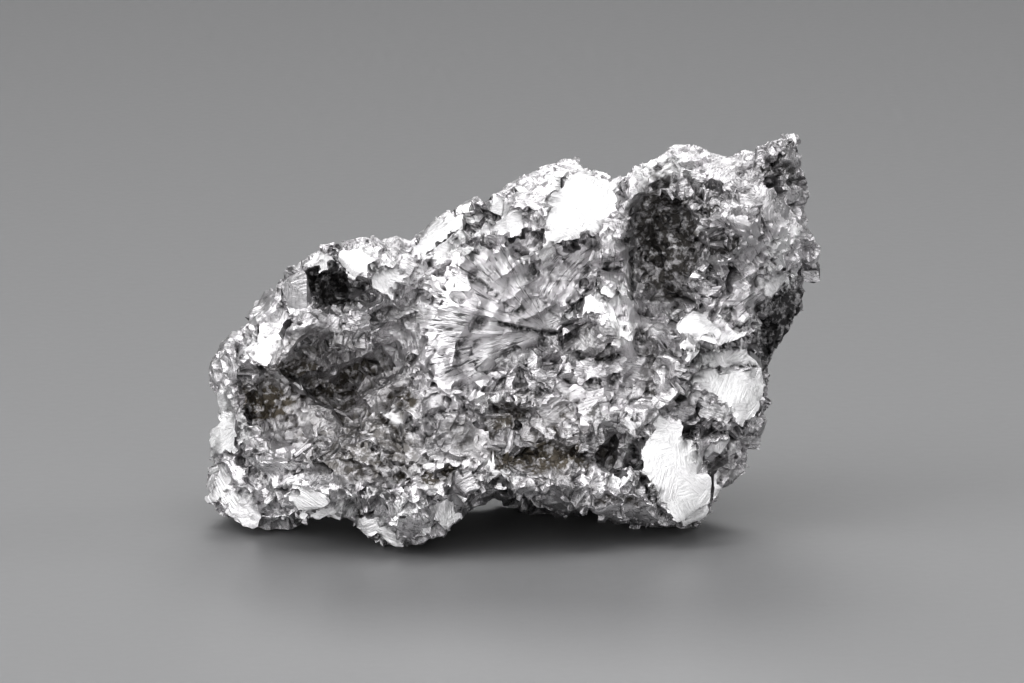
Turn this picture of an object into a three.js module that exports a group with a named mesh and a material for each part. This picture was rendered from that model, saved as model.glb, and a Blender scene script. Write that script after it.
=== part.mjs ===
// A lump of broken chromium metal, in millimetres, +Z up, resting on its own low points.
//
// The lump is one solid. Seen from the front and a little above, its outline is a closed rim of hand-placed
// corners. The rim and every feature are placed in the "face plane": u runs right, v runs up, and y runs away
// from the front. The lump is one closed skin, shaped in five steps:
//   1. a ball of small triangles is stretched over the rim, with its equator on the rim;
//   2. swells raise the knobs and sink the hollows, and the underside is drawn down into feet;
//   3. the skin breaks into flat crystal faces, from large to small;
//   4. scoops are hollowed out of the front, and the named facets are cleaved on it;
//   5. the face plane, which leans back, is stood up, and the ground trims the feet flat.

import * as THREE from "three";
import { mergeVertices } from "three/addons/utils/BufferGeometryUtils.js";

// Driving sizes.
const FRONT_BULGE = 8.5; // how far the middle of the front stands out from the rim
const BACK_BULGE = 11;
const LEAN = THREE.MathUtils.degToRad(10);
const FRONT_FOOT_LIFT = 1.39; // brings the front foot of the rim down to the ground
const BALL_DETAIL = 33; // 8 * (detail + 1)^2 triangles
const BALL_JITTER = 0.011; // uneven spacing of the ball's points, of a radius of 1
const BOXINESS = 0.8; // under 1 squares the lump's shoulders
const SECTOR = THREE.MathUtils.degToRad(16); // inside the rim, the lump follows the rim's mean over this turn
const SECTOR_STEPS = 8;

// The rim's corners, clockwise from the tip of the upper left ledge: [u, v, y].
const RIM = [
  [-18.0, 22.0, -2], [-15.9, 23.5, -1], [-12.6, 24.3, 0], [-11.1, 24.3, 1],
  [-9.6, 25.3, 2], [-8.2, 24.5, 1], [-6.5, 26.5, 1], [-4.0, 27.7, 2], [-1.5, 28.5, 2],
  [0.2, 29.7, 3], [2.3, 30.4, 3], [5.2, 31.4, 3], [6.4, 30.0, 2], [8.9, 29.7, 2],
  [10.7, 30.9, 4], [12.8, 32.2, 5], [14.8, 32.6, 5], [16.8, 31.7, 4], [19.4, 32.0, 4],
  [20.6, 32.0, 3], [22.8, 33.6, 3], [23.7, 31.2, 4], [24.0, 28.9, 4], [23.5, 26.3, 4],
  [25.0, 24.5, 3], [24.8, 22.5, 4], [23.8, 20.3, 5], [23.3, 18.1, 5], [21.6, 15.9, 4],
  [20.6, 14.1, 2], [21.1, 11.6, 1], [20.0, 9.4, 0], [19.3, 6.2, 0], [17.1, 4.7, -1],
  [15.4, 1.8, -1], [11.9, 1.3, -1], [7.6, 2.2, -3], [3.9, 3.4, -5], [-0.3, 4.2, -5],
  [-2.3, 3.7, -6], [-5.4, 1.5, -7], [-8.4, -0.1, -8], [-10.7, 0.5, -8], [-12.9, 2.2, -6],
  [-15.4, 2.7, -4], [-18.5, 2.2, -2], [-21.0, 1.3, -1], [-23.7, 2.5, 0], [-25.0, 4.0, 0],
  [-23.5, 6.5, 0], [-24.7, 9.7, 0], [-23.7, 11.7, 1], [-24.7, 14.3, 1], [-22.7, 17.5, 1],
  [-20.0, 20.0, 0],
];
const HUB = new THREE.Vector3(1, 0, 15.5); // every corner is in plain sight of the hub

// Swells: centre u and v, half sizes, turn in degrees, and how far they rise out of the skin.
const FRONT_SWELLS = {
  leftKnob: { at: [-15.5, 9.5], half: [11, 10.5], turn: 0, rise: 5.0 },
  knobHollow: { at: [-14.0, 12.2], half: [9.8, 5.6], turn: -4, rise: -5.0 },
  ledge: { at: [-12.5, 22.8], half: [6.5, 2.6], turn: 8, rise: 3.8 },
  topRidge: { at: [3.5, 28.0], half: [9, 3], turn: 20, rise: 1.4 },
  column: { at: [8.4, 21.5], half: [1.9, 7], turn: -6, rise: 2.6 },
  rightKnob: { at: [18.5, 26.5], half: [6, 6.5], turn: 0, rise: 2.8 },
  rightCheek: { at: [16.5, 15.0], half: [5, 6], turn: 0, rise: 2.8 },
  rightFoot: { at: [13.5, 5.5], half: [4.2, 5.5], turn: 0, rise: 3.4 },
  lowerLip: { at: [3.5, 5.2], half: [9, 2.2], turn: -8, rise: 3.4 },
  leftFoot: { at: [-9.0, 3.4], half: [6, 3.6], turn: 0, rise: 1.4 },
  oval: { at: [-5.2, 9.8], half: [3.6, 2.6], turn: 0, rise: 2.2 },
  fanHollow: { at: [2.0, 18.0], half: [11, 9], turn: 20, rise: -3.4 },
  saddle: { at: [-8.8, 17.5], half: [4, 6], turn: -20, rise: -2.2 },
};
const BACK_SWELLS = {
  backKnob: { at: [-14, 9], half: [8, 6], turn: -20, rise: 1.8 },
  backRidge: { at: [6, 22], half: [15, 4], turn: 18, rise: 3 },
  backHeel: { at: [5, 5], half: [11, 5], turn: 0, rise: 3 },
  backDip: { at: [13, 13], half: [6, 5], turn: 30, rise: -3 },
  backGroove: { at: [-5, 16], half: [3, 8], turn: 35, rise: -1.6 },
};

// Flat faces that the skin breaks into, from large to small: how many, how far they tilt (as a slope) and
// step up or down, the most they move the skin, and their share on the front, whose large forms are placed.
const BREAKS = [
  { count: 70, tilt: 0.4, step: 1.0, most: 2.6, front: 0.15 },
  { count: 260, tilt: 0.34, step: 0.35, most: 1.3, front: 1 },
  { count: 900, tilt: 0.3, step: 0.16, most: 0.5, front: 1 },
];
const BREAK_SEED = 3;
const BORDER = 0.6; // points nearer than this to the border of a face or facet are pulled up to the border
const RIM_ROOM = 5; // how far a face may grow outwards near the rim, per unit of edge inside the equator

// Facets cleaved on the front: depth below the skin at the outline's middle, lean, which is the facet's slope
// to the right and upwards (a positive upward lean faces the sky), and outline in u and v.
const CLEAVES = {
  crestFacet: { depth: 0.7, lean: [0.1, 0.75],
    outline: [[2.8, 24.4], [8.2, 26.0], [9.2, 29.6], [6.3, 31.0], [4.6, 29.4], [3.0, 28.4]] },
  slopeFacet: { depth: 0.6, lean: [-0.35, 0.75],
    outline: [[-7.6, 23.4], [-2.5, 23.4], [-1.6, 26.0], [-4.2, 28.0], [-7.0, 26.6]] },
  ledgeFacet: { depth: 0.5, lean: [-0.1, 0.9],
    outline: [[-17.4, 22.4], [-12.0, 22.0], [-8.6, 20.6], [-8.4, 22.6], [-11.0, 24.8], [-15.8, 24.2]] },
  ledgePocket: { depth: 3.6, lean: [0.2, 0.9],
    outline: [[-17.6, 22.0], [-14.1, 22.2], [-11.4, 20.6], [-11.8, 19.4], [-15.4, 19.0], [-17.0, 20.4]] },
  leaf: { depth: 1.3, lean: [0.3, 0.1],
    outline: [[1.4, 18.9], [3.6, 17.6], [6.6, 21.4], [7.6, 25.0], [4.8, 24.6], [2.4, 22.2]] },
  diagonalFacet: { depth: 0.8, lean: [0.1, 0.7],
    outline: [[18.6, 21.2], [23.2, 21.4], [20.8, 19.4], [20.0, 20.0]] },
  stripedFacet: { depth: 0.8, lean: [0.3, 0.2],
    outline: [[15.2, 17.8], [18.8, 20.6], [20.8, 19.2], [19.8, 16.4], [17.0, 16.4]] },
  cheekFacet: { depth: 0.7, lean: [-0.25, 0.45],
    outline: [[12.4, 18.8], [15.2, 19.2], [15.6, 16.4], [17.0, 15.4], [13.8, 15.9]] },
  brightCheek: { depth: 0.9, lean: [0.05, 0.5],
    outline: [[14.2, 12.6], [14.6, 15.2], [19.4, 15.8], [20.6, 12.4], [19.0, 9.6], [17.2, 9.9]] },
  greyCheek: { depth: 1.0, lean: [-0.55, -0.35],
    outline: [[13.4, 12.8], [15.4, 12.2], [17.6, 9.6], [14.6, 9.0]] },
  footFacet: { depth: 1.2, lean: [0.05, 0.4],
    outline: [[10.4, 9.9], [13.4, 10.4], [15.0, 7.0], [17.2, 4.6], [15.6, 1.2], [12.2, 1.6], [10.6, 5.2]] },
  rightFlank: { depth: 2.2, lean: [1.1, -0.4],
    outline: [[19.6, 16.4], [20.4, 19.4], [23.4, 22.2], [26.5, 21.5], [26.0, 14.0], [20.6, 14.4]] },
};

// A fan of feather crystals: blades from one point of the front to pairs of tips, which lean by turns one way
// and the other.
const FAN = {
  at: [3.2, 17.2], depth: 0.7, slope: 0.34,
  tips: [[-7.6, 13.4], [-9.0, 17.0], [-8.0, 20.6], [-5.2, 23.0], [-2.2, 24.6], [0.6, 25.2], [1.8, 23.4]],
};

// Scoops are uneven bowls: centre u and v, half sizes across, up and deep, turn in degrees, and how far the
// bowl's middle lies in front of the skin.
const SCOOPS = {
  darkScoop: { at: [12.3, 24.3], half: [3.6, 6.4, 4.4], turn: 4, out: -0.4 },
  knobScoop: { at: [-15.4, 12.2], half: [6.8, 3.8, 3.2], turn: 12, out: 0.3 },
  knobCrevice: { at: [-12.4, 14.2], half: [4.2, 1.3, 2.0], turn: 20, out: -0.6 },
  rightPit: { at: [16.4, 24.5], half: [1.6, 1.2, 1.8], turn: 0, out: 0 },
  lipCrevice: { at: [2.0, 7.9], half: [5.6, 1.8, 3.4], turn: -3, out: 0 },
  footHollow: { at: [8.3, 7.7], half: [2.2, 1.5, 2.8], turn: 0, out: 0 },
  eyelid: { at: [-6.2, 6.4], half: [3.6, 1.3, 2.4], turn: 8, out: 0 },
  middlePit: { at: [-0.2, 10.4], half: [1.7, 1.3, 2.2], turn: 0, out: 0 },
};
const SCOOP_ROUGHNESS = 0.22; // how uneven a bowl is, as a share of its size

// Feet: bowls that the underside is drawn down to: x and y of the middle, how far the bowl sinks below the
// ground, which trims it flat, and its radius at the height given after the feet.
const FEET = {
  frontFoot: { at: [-8.8, -6.0], sink: 1.0, radius: 4.2 },
  rightFoot: { at: [12.2, 1.8], sink: 1.2, radius: 5.0 },
  leftFoot: { at: [-19.0, 0.6], sink: 1.2, radius: 4.6 },
  backFoot: { at: [3.6, 9.0], sink: 1.4, radius: 5.4 },
};
const FEET_HEIGHT = 5;
const UNDERSIDE = 8; // only points lower than this, and facing down, are drawn down into feet
const SPIKE = 1.1; // how far a point may stand out from the middle of its neighbours

const { sin, cos, atan2, hypot, abs, floor } = Math;
const toRadians = THREE.MathUtils.degToRad;
const mix = THREE.MathUtils.lerp;
const smooth = THREE.MathUtils.smoothstep;

// A chain of repeatable numbers from 0 to 1.
function dice(seed) {
  let state = seed;
  return () => {
    state = (state + 0x6d2b79f5) | 0;
    let h = Math.imul(state ^ (state >>> 15), 1 | state);
    h = (h + Math.imul(h ^ (h >>> 7), 61 | h)) ^ h;
    return ((h ^ (h >>> 14)) >>> 0) / 4294967296;
  };
}

// A vector with each part between -1 and 1.
const rolled = (roll) => new THREE.Vector3(roll(), roll(), roll()).multiplyScalar(2).subScalar(1);

// A geometry with position alone and its seams welded.
function welded(geometry) {
  geometry.deleteAttribute("normal");
  geometry.deleteAttribute("uv");
  return mergeVertices(geometry, 1e-5);
}

function pointsOf(geometry, attribute = "position") {
  const values = geometry.getAttribute(attribute);
  return Array.from({ length: values.count }, (_, n) => new THREE.Vector3().fromBufferAttribute(values, n));
}

function moveTo(geometry, points) {
  const place = geometry.getAttribute("position");
  points.forEach((p, n) => place.setXYZ(n, p.x, p.y, p.z));
  return geometry;
}

const bearingOf = (p) => atan2(p.z, p.x);
const onEquator = (p) => abs(p.y) < 1e-6;

// The rim as a ring of points: every corner, with the longest sides halved until there are enough.
function rimRing(count) {
  const ring = RIM.map(([u, v, y]) => new THREE.Vector3(u, y, v));
  const side = (n) => ring[n].distanceTo(ring[(n + 1) % ring.length]);
  while (ring.length < count) {
    let longest = 0;
    for (let n = 1; n < ring.length; n++) if (side(n) > side(longest)) longest = n;
    ring.splice(longest + 1, 0, ring[longest].clone().lerp(ring[(longest + 1) % ring.length], 0.5));
  }
  return ring.sort((a, b) => bearingOf(a.clone().sub(HUB)) - bearingOf(b.clone().sub(HUB)));
}

// Ties each equator point of the ball to one point of the rim, and returns the rim point at any bearing.
function tiedRim(ball) {
  const bearings = ball.filter(onEquator).map(bearingOf).sort((a, b) => a - b);
  const ring = rimRing(bearings.length);
  const round = 2 * Math.PI;
  return (bearing) => {
    const b = bearing - round * floor((bearing - bearings[0]) / round);
    let n = bearings.length - 1;
    while (bearings[n] > b) n--;
    const last = n === bearings.length - 1;
    const next = last ? bearings[0] + round : bearings[n + 1];
    return ring[n].clone().lerp(ring[last ? 0 : n + 1], (b - bearings[n]) / (next - bearings[n]));
  };
}

// The rim averaged over a wide sector, which shapes the lump away from its rim.
function wideRim(rimAt, bearing) {
  const sum = new THREE.Vector3();
  for (let n = -SECTOR_STEPS; n <= SECTOR_STEPS; n++) sum.add(rimAt(bearing + (n / SECTOR_STEPS) * SECTOR));
  return sum.divideScalar(2 * SECTOR_STEPS + 1);
}

// A swell's share at a point: 1 at its middle, 0 at its edge.
function swellShare({ at, half, turn }, u, v) {
  const [c, s] = [cos(toRadians(turn)), sin(toRadians(turn))];
  const [du, dv] = [u - at[0], v - at[1]];
  return 1 - smooth(hypot((du * c + dv * s) / half[0], (dv * c - du * s) / half[1]), 0.15, 1);
}

// Step 1 and 2: where a point of the ball goes.
function stretched(direction, rimAt) {
  const bearing = bearingOf(direction);
  const edge = hypot(direction.x, direction.z);
  const rim = wideRim(rimAt, bearing).lerp(rimAt(bearing), smooth(edge, 0.72, 0.97));
  const p = HUB.clone().lerp(rim, edge ** BOXINESS);
  const inFront = direction.y < 0;
  const [side, bulge, swells] = inFront ? [-1, FRONT_BULGE, FRONT_SWELLS] : [1, BACK_BULGE, BACK_SWELLS];
  p.y = rim.y * smooth(edge, 0.1, 0.9) + side * bulge * abs(direction.y) ** BOXINESS;
  const fade = 1 - smooth(edge, 0.8, 1); // swells fade out towards the rim
  for (const swell of Object.values(swells)) p.y += side * swell.rise * swellShare(swell, p.x, p.z) * fade;
  return p;
}

// Step 3: breaks the skin into flat faces. Each face is a plane through a random point of the skin, and every
// point of the skin goes to its nearest face's plane. Nothing grows past the rim, and the rim itself stays.
function broken(skin, ball, { count, tilt, step, most, front }, roll) {
  skin.computeVertexNormals();
  const points = pointsOf(skin);
  const normals = pointsOf(skin, "normal");
  const faces = Array.from({ length: count }, (_, rank) => {
    const n = floor(roll() * points.length);
    const normal = normals[n].clone().addScaledVector(rolled(roll), tilt).normalize();
    const at = points[n].clone().addScaledVector(normal, step * (2 * roll() - 1));
    return { at, normal, rank };
  });
  return moveTo(skin, points.map((p, n) => {
    const edge = hypot(ball[n].x, ball[n].z);
    const share = ball[n].y < 0 ? mix(front, 1, smooth(edge, 0.75, 0.95)) : 1;
    const outMost = Math.min(most, RIM_ROOM * (1 - edge));
    const inMost = most * (1 - smooth(edge, 0.96, 1));
    const [face, other] = nearestTwo(faces, p);
    const across = other.at.clone().sub(face.at);
    const toBorder = face.at.clone().add(other.at).multiplyScalar(0.5).sub(p).dot(across) / across.length();
    const pulled = toBorder < BORDER && edge < 0.97 && face.rank < other.rank ? toBorder * share : 0;
    const moved = p.clone().addScaledVector(across.normalize(), pulled);
    const facing = Math.max(normals[n].dot(face.normal), 0.5);
    const toPlane = face.at.clone().sub(moved).dot(face.normal) / facing;
    return moved.addScaledVector(normals[n], THREE.MathUtils.clamp(toPlane, -inMost, outMost) * share);
  }));
}

// The faces nearest and second nearest to a point.
function nearestTwo(faces, p) {
  let [first, second] = [null, null];
  let [near, next] = [Infinity, Infinity];
  for (const face of faces) {
    const away = face.at.distanceToSquared(p);
    if (away < near) [first, near, second, next] = [face, away, first, near];
    else if (away < next) [second, next] = [face, away];
  }
  return [first, second];
}

// The y of the front skin at a point of the face plane.
function frontAt(front, u, v) {
  return front.reduce((a, b) => (hypot(b.x - u, b.z - v) < hypot(a.x - u, a.z - v) ? b : a)).y;
}

// Step 4, scoops: sinks the points inside a bowl down to it. No point sinks behind its own part of the rim.
function scooped(front, { at, half, turn, out }, roll) {
  const [c, s] = [cos(toRadians(turn)), sin(toRadians(turn))];
  const middle = frontAt(front, ...at) - out;
  for (const p of front) {
    const [du, dv] = [p.x - at[0], p.z - at[1]];
    const r = hypot((du * c + dv * s) / half[0], (dv * c - du * s) / half[1]);
    const uneven = 1 + SCOOP_ROUGHNESS * (2 * roll() - 1);
    if (r < uneven) sinkTo(p, middle + half[2] * Math.sqrt(1 - (r / uneven) ** 2));
  }
}

function sinkTo(p, y) {
  p.y = Math.max(p.y, Math.min(y, p.deepest));
}

// Step 4, facets: sinks the points inside an outline down to the facet. Points just inside the outline are
// pulled out to it, which keeps its sides straight.
function cleaved(front, { outline, depth, lean }) {
  const corners = outline.map(([u, v]) => new THREE.Vector2(u, v));
  const middle = corners.reduce((sum, at) => sum.add(at), new THREE.Vector2()).divideScalar(corners.length);
  const base = frontAt(front, middle.x, middle.y) + depth;
  for (const p of front) {
    const at = new THREE.Vector2(p.x, p.z);
    if (!inside(corners, at)) continue;
    const side = nearestOn(corners, at);
    if (side.distanceTo(at) < BORDER && !p.onRim) [p.x, p.z] = [side.x, side.y];
    sinkTo(p, base + lean[0] * (p.x - middle.x) + lean[1] * (p.z - middle.y));
  }
}

// Whether a point lies inside an outline.
function inside(corners, at) {
  return corners.reduce((odd, a, n) => {
    const b = corners[(n + 1) % corners.length];
    const crosses = a.y > at.y !== b.y > at.y && at.x < mix(a.x, b.x, (at.y - a.y) / (b.y - a.y));
    return odd !== crosses;
  }, false);
}

// The point of an outline nearest to a point.
function nearestOn(corners, at) {
  const spots = corners.map((a, n) => {
    const along = corners[(n + 1) % corners.length].clone().sub(a);
    const share = THREE.MathUtils.clamp(at.clone().sub(a).dot(along) / along.lengthSq(), 0, 1);
    return a.clone().addScaledVector(along, share);
  });
  return spots.reduce((a, b) => (b.distanceTo(at) < a.distanceTo(at) ? b : a));
}

function fanBlades({ at, tips, depth, slope }) {
  return tips.slice(1).map((tip, n) => {
    const bearing = atan2(tip[1] - at[1], tip[0] - at[0]);
    const turn = n % 2 ? slope : -slope;
    return { depth, lean: [-sin(bearing) * turn, cos(bearing) * turn], outline: [at, tips[n], tip] };
  });
}

// Step 5: the height above the ground of a point of the face plane once it stands, and back.
const standing = (p) => (p.z - FRONT_FOOT_LIFT - p.y * sin(LEAN)) / cos(LEAN);
const leaning = (z, y) => z * cos(LEAN) + y * sin(LEAN) + FRONT_FOOT_LIFT;

// Step 2: draws the underside down into feet.
function footed(skin) {
  skin.computeVertexNormals();
  const normals = pointsOf(skin, "normal");
  return moveTo(skin, pointsOf(skin).map((p, n) => {
    if (standing(p) > UNDERSIDE || normals[n].z > 0) return p;
    const bowls = Object.values(FEET).map(
      ({ at, sink, radius }) => FEET_HEIGHT * (hypot(p.x - at[0], p.y - at[1]) / radius) ** 2 - sink);
    return p.setZ(leaning(Math.min(standing(p), ...bowls), p.y));
  }));
}

// Draws in the points that stand out like thorns.
function blunted(skin) {
  const points = pointsOf(skin);
  const near = points.map(() => new Set());
  const { array } = skin.index;
  array.forEach((n, i) => {
    const corner = i - (i % 3);
    near[n].add(array[corner + ((i + 1) % 3)]).add(array[corner + ((i + 2) % 3)]);
  });
  return moveTo(skin, points.map((p, n) => {
    const middle = [...near[n]].reduce((sum, m) => sum.add(points[m]), new THREE.Vector3());
    middle.divideScalar(near[n].size);
    const out = p.clone().sub(middle);
    return middle.add(out.clampLength(0, SPIKE));
  }));
}

function chromiumLump() {
  const roll = dice(BREAK_SEED);
  const skin = welded(new THREE.OctahedronGeometry(1, BALL_DETAIL));
  const jittered = (p) => p.addScaledVector(rolled(roll), BALL_JITTER).normalize();
  const ball = pointsOf(skin).map((p) => (onEquator(p) ? p : jittered(p)));
  const rimAt = tiedRim(ball);
  footed(moveTo(skin, ball.map((p) => stretched(p, rimAt))));
  for (const level of BREAKS) broken(skin, ball, level, roll);
  blunted(skin);

  const points = pointsOf(skin);
  points.forEach((p, n) => {
    p.onRim = hypot(ball[n].x, ball[n].z) > 0.97;
    p.deepest = rimAt(bearingOf(ball[n])).y;
  });
  const front = points.filter((_, n) => ball[n].y < 0);
  for (const bowl of Object.values(SCOOPS)) scooped(front, bowl, roll);
  for (const facet of [...fanBlades(FAN), ...Object.values(CLEAVES)]) cleaved(front, facet);

  moveTo(skin, points.map((p) => p.setZ(Math.max(standing(p), 0))));
  skin.computeBoundingBox();
  const { min, max } = skin.boundingBox;
  return skin.translate(-(min.x + max.x) / 2, -(min.y + max.y) / 2, -min.z);
}

const chromium = new THREE.MeshStandardMaterial({ color: 0xb9b9bc, roughness: 0.32, metalness: 1 });
const lump = new THREE.Mesh(chromiumLump(), chromium);
lump.name = "chromium_lump";

const specimen = new THREE.Group();
specimen.add(lump);
export default specimen;
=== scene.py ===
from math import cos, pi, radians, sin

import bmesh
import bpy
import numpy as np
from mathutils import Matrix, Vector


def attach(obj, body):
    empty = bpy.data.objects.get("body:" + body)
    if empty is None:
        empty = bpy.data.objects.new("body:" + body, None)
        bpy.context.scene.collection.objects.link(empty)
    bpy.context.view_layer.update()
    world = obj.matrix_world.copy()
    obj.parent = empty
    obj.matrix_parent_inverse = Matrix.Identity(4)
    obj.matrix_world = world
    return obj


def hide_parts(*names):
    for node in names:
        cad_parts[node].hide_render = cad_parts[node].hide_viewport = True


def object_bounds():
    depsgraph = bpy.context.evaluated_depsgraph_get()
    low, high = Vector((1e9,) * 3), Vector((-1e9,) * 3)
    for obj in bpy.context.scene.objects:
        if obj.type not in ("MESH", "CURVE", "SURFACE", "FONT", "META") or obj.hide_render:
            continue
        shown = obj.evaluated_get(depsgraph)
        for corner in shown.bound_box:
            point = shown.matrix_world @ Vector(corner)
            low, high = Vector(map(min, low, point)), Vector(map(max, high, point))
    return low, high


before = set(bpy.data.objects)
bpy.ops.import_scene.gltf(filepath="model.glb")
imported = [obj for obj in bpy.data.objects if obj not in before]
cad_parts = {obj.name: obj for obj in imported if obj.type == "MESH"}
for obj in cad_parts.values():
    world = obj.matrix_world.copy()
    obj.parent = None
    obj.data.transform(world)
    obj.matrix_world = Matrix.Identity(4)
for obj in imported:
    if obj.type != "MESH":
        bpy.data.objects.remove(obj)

# A broken lump of bright chromium metal on a plain floor.
#
# The lump's skin starts from the CAD solid, which carries its forms, and is made in these steps:
#   1. the solid is meshed again, finely and evenly;
#   2. Geometry Nodes break the skin into tilted, stepped and stair-cut crystal grains;
#   3. hollows, cracks, ridges, blades, pebbles and flat cleavage facets are placed one by one on the front;
#   4. the mesh is thinned to its final number of triangles and cleared of loose specks;
#   5. its points get the painted shade, brown dust, polish and painted light and shade that the metal reads.
#
# Lengths are in millimetres until the skin is finished. What lies on the front is placed in the "face
# plane", which is the front seen from a little above: u runs right, v runs up.

CAD_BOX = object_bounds()
MM = 0.001

SIGHT = radians(10)  # how far above the horizon the face plane is seen from
TO_VIEWER = (0, -cos(SIGHT), sin(SIGHT))
FACE_RISE = 1.39  # height in the face plane of a ground point below the lump's middle
FACE_SHIFT = 1.154  # how far the lump's middle lies in front of its box's middle
FAR = 1e9  # further than anything on the lump
TINY = 1e-9  # stands in for 0 where something is divided by it

SAME_POINT = 1e-7  # corners of the solid that lie closer than this, in metres, are merged
VOXEL = 0.19  # width of the even faces
TRIANGLES = 195000
BOX_GAP = 0.01  # the skin stays this far inside the solid's box, but for its foot
ON_FLOOR = 0.02  # what lies lower than this rests on the floor and stays flat
SHARP = 38  # edges that bend more than this, in degrees, stay sharp
FRONT_ROUNDS = 5  # how often normals are averaged with their neighbours' to find what faces the front
NORMAL_ROUNDS = 40  # how often normals are averaged with their neighbours' to find the large form
CREVICE_ROUNDS = 8  # how often points are averaged with their neighbours to find the crevices
CREVICE_DEPTH = (0.05, 0.32)  # how deep crevices are where painted shade begins, and where it is at its most
CREVICE_SHADE = 0.7  # the most shade painted in a crevice
EDGE_HEIGHT = 0.25  # edges that stand this far out of the skin around them are drawn paler
EDGE_TONE = 0.35  # and by this much

# What the viewer sees. Each pair gives where the share begins to rise and where it is full.
SEEN_CELL = 0.3  # what lies behind other skin is found in squares of this width
CELLS_START = 40  # the squares begin this far to the left of and below the face plane's middle
CELL_ROWS = 1000  # more rows than there are, so that each square has a number of its own
HIDDEN_BY = (1.2, 2.4)  # how far other skin lies in front
THICK = (4, 8)  # how thick the lump is along the line of sight
FACING = (-0.05, 0.15)  # the normal's part towards the viewer
SIDE_FACING = (-0.35, -0.15)  # and the same, with overhangs and side walls let in

# The crystal grains, from large to small: size, tilt as a slope, step up or down, and the steps of the
# stairs that cross each grain (width and height).
GRAINS = {
    "Plate": (3.8, 0.34, 0.24, 0.90, 0.13),
    "Grain": (1.7, 0.25, 0.12, 0.50, 0.06),
}
GRAIN_PARTS = ("size", "tilt", "step", "stair width", "stair height")
TILT_SPREAD = 3.2  # how widely the tilts of grains are spread, in times their tilt above
LEAST_STAIR = 0.01  # stairs are never narrower than this
ALIGNED = 0.6  # grains that lean together lose this much of their own tilt
LEAN_SHARE = 0.5  # and each level of grains takes this much of the common lean
WANDER = 0.55  # how finely the borders of grains wander
LUMP_SIZE = 1.1  # rounded lumps of crumbly ground
LUMP_HEIGHT = 1.3
LUMP_SHIFT = 31.0  # keeps the lumps from following the borders of grains
BLADE_WIDTH = 0.55  # grains are stretched into blades that run one way in each plate
BLADE_LENGTH = 1.5
SINK = 0.45  # the grains lie this deep on the whole, so that they stay inside the solid's outline
DEEPEST = 1.8  # no grain lies deeper
PROUD_SHARE = 0.4  # what stands proud of the solid is pressed down to this share of its height
PROUD_SINK = 0.15  # and then sunk by this much
FACET_CALM = 0.85  # how far facets are spared by the grains
RIBBED_CALM = 0.6  # and how far ribbed ground is
GRAIN_SEED = 11
SEED_SHIFT = 7.3  # how far each step of the seed moves the grains

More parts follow.
